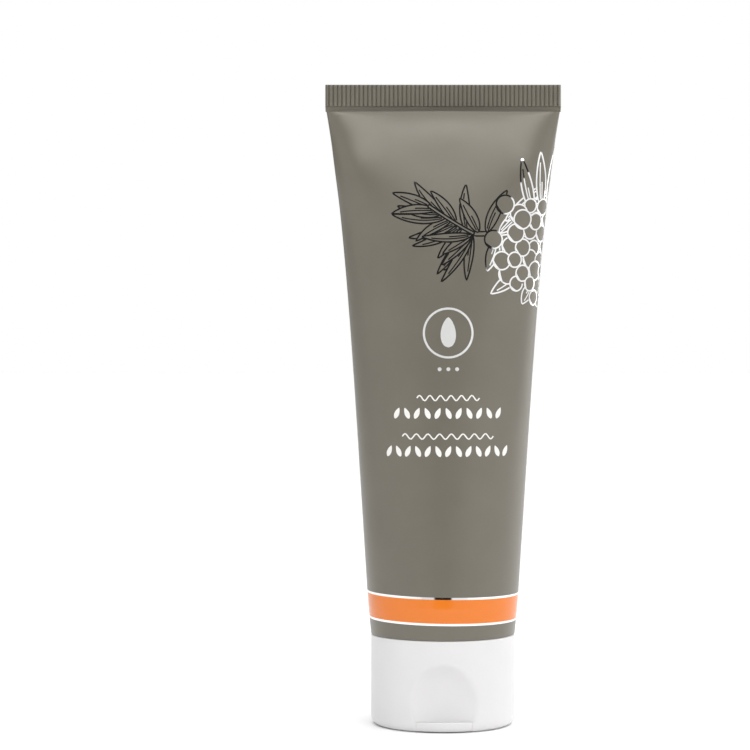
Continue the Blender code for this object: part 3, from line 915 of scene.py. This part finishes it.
def make_collar_thread():
    ridge = helix(
        "collar_thread", COLLAR_THREAD_Z, root=9.0 * MM, crest=7.8 * MM,
        root_half=0.9 * MM, crest_half=0.35 * MM, mat=CAP_WHITE)
    place(ridge, "cap", "cap_white", "cap_body")


def make_head():
    """The tube's shoulder and threaded neck, seen when the cap is unscrewed."""
    # radius and height in millimetres, down the outside and back up the inside
    profile = [(16.0, 25.0), (16.0, 22.5), (15.9, 22.3), (15.4, 22.0)]
    profile += curve_points((8.4, 17.6), (7.4, 17.0), (7.4, 16.2), 8).tolist()
    profile += [(7.4, 5.3), (7.3, 5.1), (7.1, 5.0), (6.2, 5.0), (6.0, 5.1), (5.9, 5.3)]
    profile += [(5.9, 17.4), (15.1, 23.1), (15.1, 25.0)]
    profile = [(r * MM, z * MM) for r, z in profile]
    verts = turned_points(profile, HEAD_COLUMNS)
    faces = ring_faces(len(profile), HEAD_COLUMNS, close_rows=True)
    head = mesh_object("head", verts, faces, [HEAD_WHITE])
    place(head, "tube", "head_white", "tube_head")
    ridge = helix(
        "neck_thread", NECK_THREAD_Z, root=7.2 * MM, crest=8.4 * MM,
        root_half=0.95 * MM, crest_half=0.4 * MM, mat=HEAD_WHITE)
    place(ridge, "tube", "head_white", "tube_head")


def lid_outline():
    """The lid from above, anticlockwise: disc, front lip and back tab."""
    far = 2 * CAP_RADIUS
    low = -math.degrees(math.acos(LIP_HALF / LID_RADIUS))
    high = math.degrees(math.acos(TAB_HALF / LID_RADIUS))
    right = arc((0.0, 0.0), LID_RADIUS, low, high, 40)
    left = [(-x, y) for x, y in reversed(right)]
    lip = [(-LIP_HALF, -far), (LIP_HALF, -far)]
    tab = [(TAB_HALF, SEAT_Y), (-TAB_HALF, SEAT_Y)]
    return lip + right + tab + left


def make_lid():
    """The turned lid with its pin, cut to its plan."""
    top, edge, fillet = LID_TOP, LID_EDGE, 0.2 * MM
    profile = [
        (PIN_TIP - 0.3 * MM, LID_HIGH.z), (PIN_TIP, LID_HIGH.z - 0.3 * MM),
        (PIN_RADIUS, LID_FLOOR + fillet), (PIN_RADIUS + fillet, LID_FLOOR),
        (LID_HOLLOW - fillet, LID_FLOOR), (LID_HOLLOW, LID_FLOOR + fillet),
        (LID_HOLLOW, top - edge), (LID_HOLLOW + edge, top), (CAP_RADIUS - edge, top),
    ]
    profile += arc((CAP_RADIUS - edge, top - edge), edge, 60, 0, 2)
    profile += arc((CAP_RADIUS - FOOT_RADIUS, FOOT_RADIUS), FOOT_RADIUS, 0, -90, 12)
    verts = turned_points(profile, CAP_COLUMNS)
    faces = ring_faces(len(profile), CAP_COLUMNS)
    faces.append(tuple(range(CAP_COLUMNS)))
    faces.append(tuple(range(len(verts) - CAP_COLUMNS, len(verts))))
    lid = mesh_object("lid", verts, faces, [CAP_WHITE])
    outline = lid_outline()
    size = len(outline)
    plan_verts = [(x, y, z) for z in (LID_LOW.z, 6 * MM) for x, y in outline]
    plan_faces = ring_faces(2, size) + [tuple(range(size)), tuple(range(size, 2 * size))]
    plan = mesh_object("lid_plan", plan_verts, plan_faces, [CAP_WHITE])
    apply_booleans(lid, [plan], "INTERSECT")
    place(lid, "lid", "lid_white", "cap_lid")


def make_hinge_strip(name, x, width, height, node):
    """A thin web from the cap's seat to the lid's tab, bowed outwards in the middle."""
    rows, edge = WEB_ROWS, 0.15 * MM
    outer, inner = [], []
    for i in range(rows):
        t = i / (rows - 1)
        z = HINGE_Z + height * (t - 0.5)
        bow = math.sin(math.pi * t) ** 0.6
        outer.append((SEAT_Y + 0.12 * MM + 0.45 * MM * bow, z))
        inner.append((SEAT_Y - 0.05 * MM + 0.4 * MM * bow, z))
    loop = outer + inner[::-1]
    xs = (x - width / 2, x - width / 2 + edge, x + width / 2 - edge, x + width / 2)
    verts = []
    for k, px in enumerate(xs):
        sink = 0.08 * MM if k in (0, 3) else 0.0
        verts += [(px, y - (sink if i < rows else 0.0), z) for i, (y, z) in enumerate(loop)]
    size = len(loop)
    faces = ring_faces(len(xs), size)
    for base in (0, (len(xs) - 1) * size):
        for i in range(rows - 1):
            faces.append((base + i, base + i + 1, base + size - 2 - i, base + size - 1 - i))
    strip = mesh_object(name, verts, faces, [CAP_WHITE])
    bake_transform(strip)
    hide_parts(node)


# ---------------------------------------------------------------- pieces that keep their CAD shape

def dress_node(node, mat):
    materials = frame["nodes"][node].data.materials
    materials.clear()
    materials.append(mat)


# ---------------------------------------------------------------- floor, light and camera

def make_floor():
    mat = surface("floor_white", (0.98, 0.98, 0.98), 0.6, spread=0.004, grain=40.0)
    size = 3.0
    corners = [(-size, -size, 0), (size, -size, 0), (size, size, 0), (-size, size, 0)]
    floor = mesh_object("floor", corners, [(0, 1, 2, 3)], [mat])


def math_node(tree, operation, a, b=None, clamp=False):
    node = tree.nodes.new("ShaderNodeMath")
    node.operation = operation
    node.use_clamp = clamp
    for socket, value in zip(node.inputs, (a, b)):
        if value is None:
            continue
        if isinstance(value, (int, float)):
            socket.default_value = value
        else:
            tree.links.new(value, socket)
    return node.outputs[0]


def ramp_node(tree, a, b):
    """Rises from 0 to 1 while a goes from b to b + RAMP."""
    return math_node(tree, "DIVIDE", math_node(tree, "SUBTRACT", a, b), RAMP, clamp=True)


def make_world():
    """White studio all round, brighter overhead and on the right, with a dark gap in front."""
    world = bpy.data.worlds.new("studio")
    bpy.context.scene.world = world
    world.use_nodes = True
    tree = world.node_tree
    tree.nodes.clear()
    coordinates = tree.nodes.new("ShaderNodeTexCoord")
    split = tree.nodes.new("ShaderNodeSeparateXYZ")
    tree.links.new(coordinates.outputs["Generated"], split.inputs[0])
    x, y, z = split.outputs
    up = math_node(tree, "MAXIMUM", z, 0.0)
    # the dark gap ends to its left and right, behind the tube and overhead
    gap = math_node(tree, "ADD", math_node(tree, "MULTIPLY", up, GAP_WIDENING), GAP_HALF)
    aside = math_node(tree, "ABSOLUTE", math_node(tree, "ADD", x, -GAP_MIDDLE))
    edge = math_node(tree, "DIVIDE", math_node(tree, "SUBTRACT", aside, gap), GAP_EDGE)
    clear = math_node(tree, "ADD", edge, 0.5, clamp=True)
    behind = math_node(tree, "ADD", math_node(tree, "MULTIPLY", y, 5.0), 2.0, clamp=True)
    above = ramp_node(tree, z, GAP_TOP)
    light = math_node(tree, "MAXIMUM", math_node(tree, "MAXIMUM", clear, behind), above)
    side = math_node(tree, "ADD", math_node(tree, "MULTIPLY", x, WORLD_SIDE), WORLD_LEVEL)
    level = math_node(tree, "ADD", side, math_node(tree, "MULTIPLY", up, WORLD_TOP))
    # a grey panel stands behind the tube on the left
    left = ramp_node(tree, PANEL_RIGHT, x)
    rear = ramp_node(tree, y, PANEL_FRONT)
    low = ramp_node(tree, PANEL_TOP, z)
    panel = math_node(tree, "MULTIPLY", math_node(tree, "MULTIPLY", left, rear), low)
    shaded = math_node(tree, "MULTIPLY", panel, PANEL_SHADE)
    dimmed = math_node(tree, "SUBTRACT", 1.0, shaded)
    lit = math_node(tree, "ADD", math_node(tree, "MULTIPLY", light, 1 - GAP_LIGHT), GAP_LIGHT)
    total = math_node(tree, "MULTIPLY", math_node(tree, "MULTIPLY", level, lit), dimmed)
    studio = tree.nodes.new("ShaderNodeBackground")
    studio.inputs["Color"].default_value = (1.0, 1.0, 1.0, 1.0)
    tree.links.new(total, studio.inputs["Strength"])
    seen = tree.nodes.new("ShaderNodeBackground")
    seen.inputs["Color"].default_value = (1.0, 1.0, 1.0, 1.0)
    path = tree.nodes.new("ShaderNodeLightPath")
    mix = tree.nodes.new("ShaderNodeMixShader")
    tree.links.new(path.outputs["Is Camera Ray"], mix.inputs[0])
    tree.links.new(studio.outputs[0], mix.inputs[1])
    tree.links.new(seen.outputs[0], mix.inputs[2])
    output = tree.nodes.new("ShaderNodeOutputWorld")
    tree.links.new(mix.outputs[0], output.inputs[0])


def softbox(name, location, target, size, power):
    data = bpy.data.lights.new(name, "AREA")
    data.shape = "RECTANGLE"
    data.size, data.size_y = size
    data.energy = power
    obj = bpy.data.objects.new(name, data)
    bpy.context.scene.collection.objects.link(obj)
    obj.location = location
    obj.rotation_euler = (Vector(target) - Vector(location)).to_track_quat("-Z", "Y").to_euler()


def make_camera():
    """A little above the middle of the tube and to the left of its axis, 0.65 m away."""
    distance, width_seen = 0.65, 0.1754
    eye = Vector((-0.0159, -distance, 0.100))
    look = Vector((eye.x, 0.0, 0.0817))
    data = bpy.data.cameras.new("camera")
    data.sensor_width = 36.0
    data.lens = data.sensor_width * distance / width_seen
    data.clip_start = 0.01
    camera = bpy.data.objects.new("camera", data)
    bpy.context.scene.collection.objects.link(camera)
    camera.location = eye
    camera.rotation_euler = (look - eye).to_track_quat("-Z", "Y").to_euler()
    bpy.context.scene.camera = camera


def main():
    make_sleeve()
    make_crimp()
    make_sprig()
    make_emblem()
    make_ornament()
    make_cap_body()
    make_lid()
    strips = (
        ("film", "hinge_film"), ("strap_left", "hinge_strap_left"),
        ("strap_right", "hinge_strap_right"),
    )
    for name, node in strips:
        low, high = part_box(node)
        make_hinge_strip(name, (low.x + high.x) / 2, high.x - low.x, high.z - low.z, node)
    make_head()
    dress_node("shoulder_insert", INSERT_WHITE)
    dress_node("seal_foil", SEAL_SILVER)
    dress_node("shaving_cream", CREAM)
    make_floor()
    make_world()
    softbox(
        "key_right", location=(0.70, 0.42, 0.25), target=(0, 0, 0.08), size=(0.5, 0.7), power=0.9)
    softbox(
        "top_front", location=(0.0, -0.60, 0.60), target=(0, 0, 0.12), size=(0.8, 0.3), power=2.2)
    make_camera()
    bpy.context.scene.view_settings.view_transform = "Standard"


main()
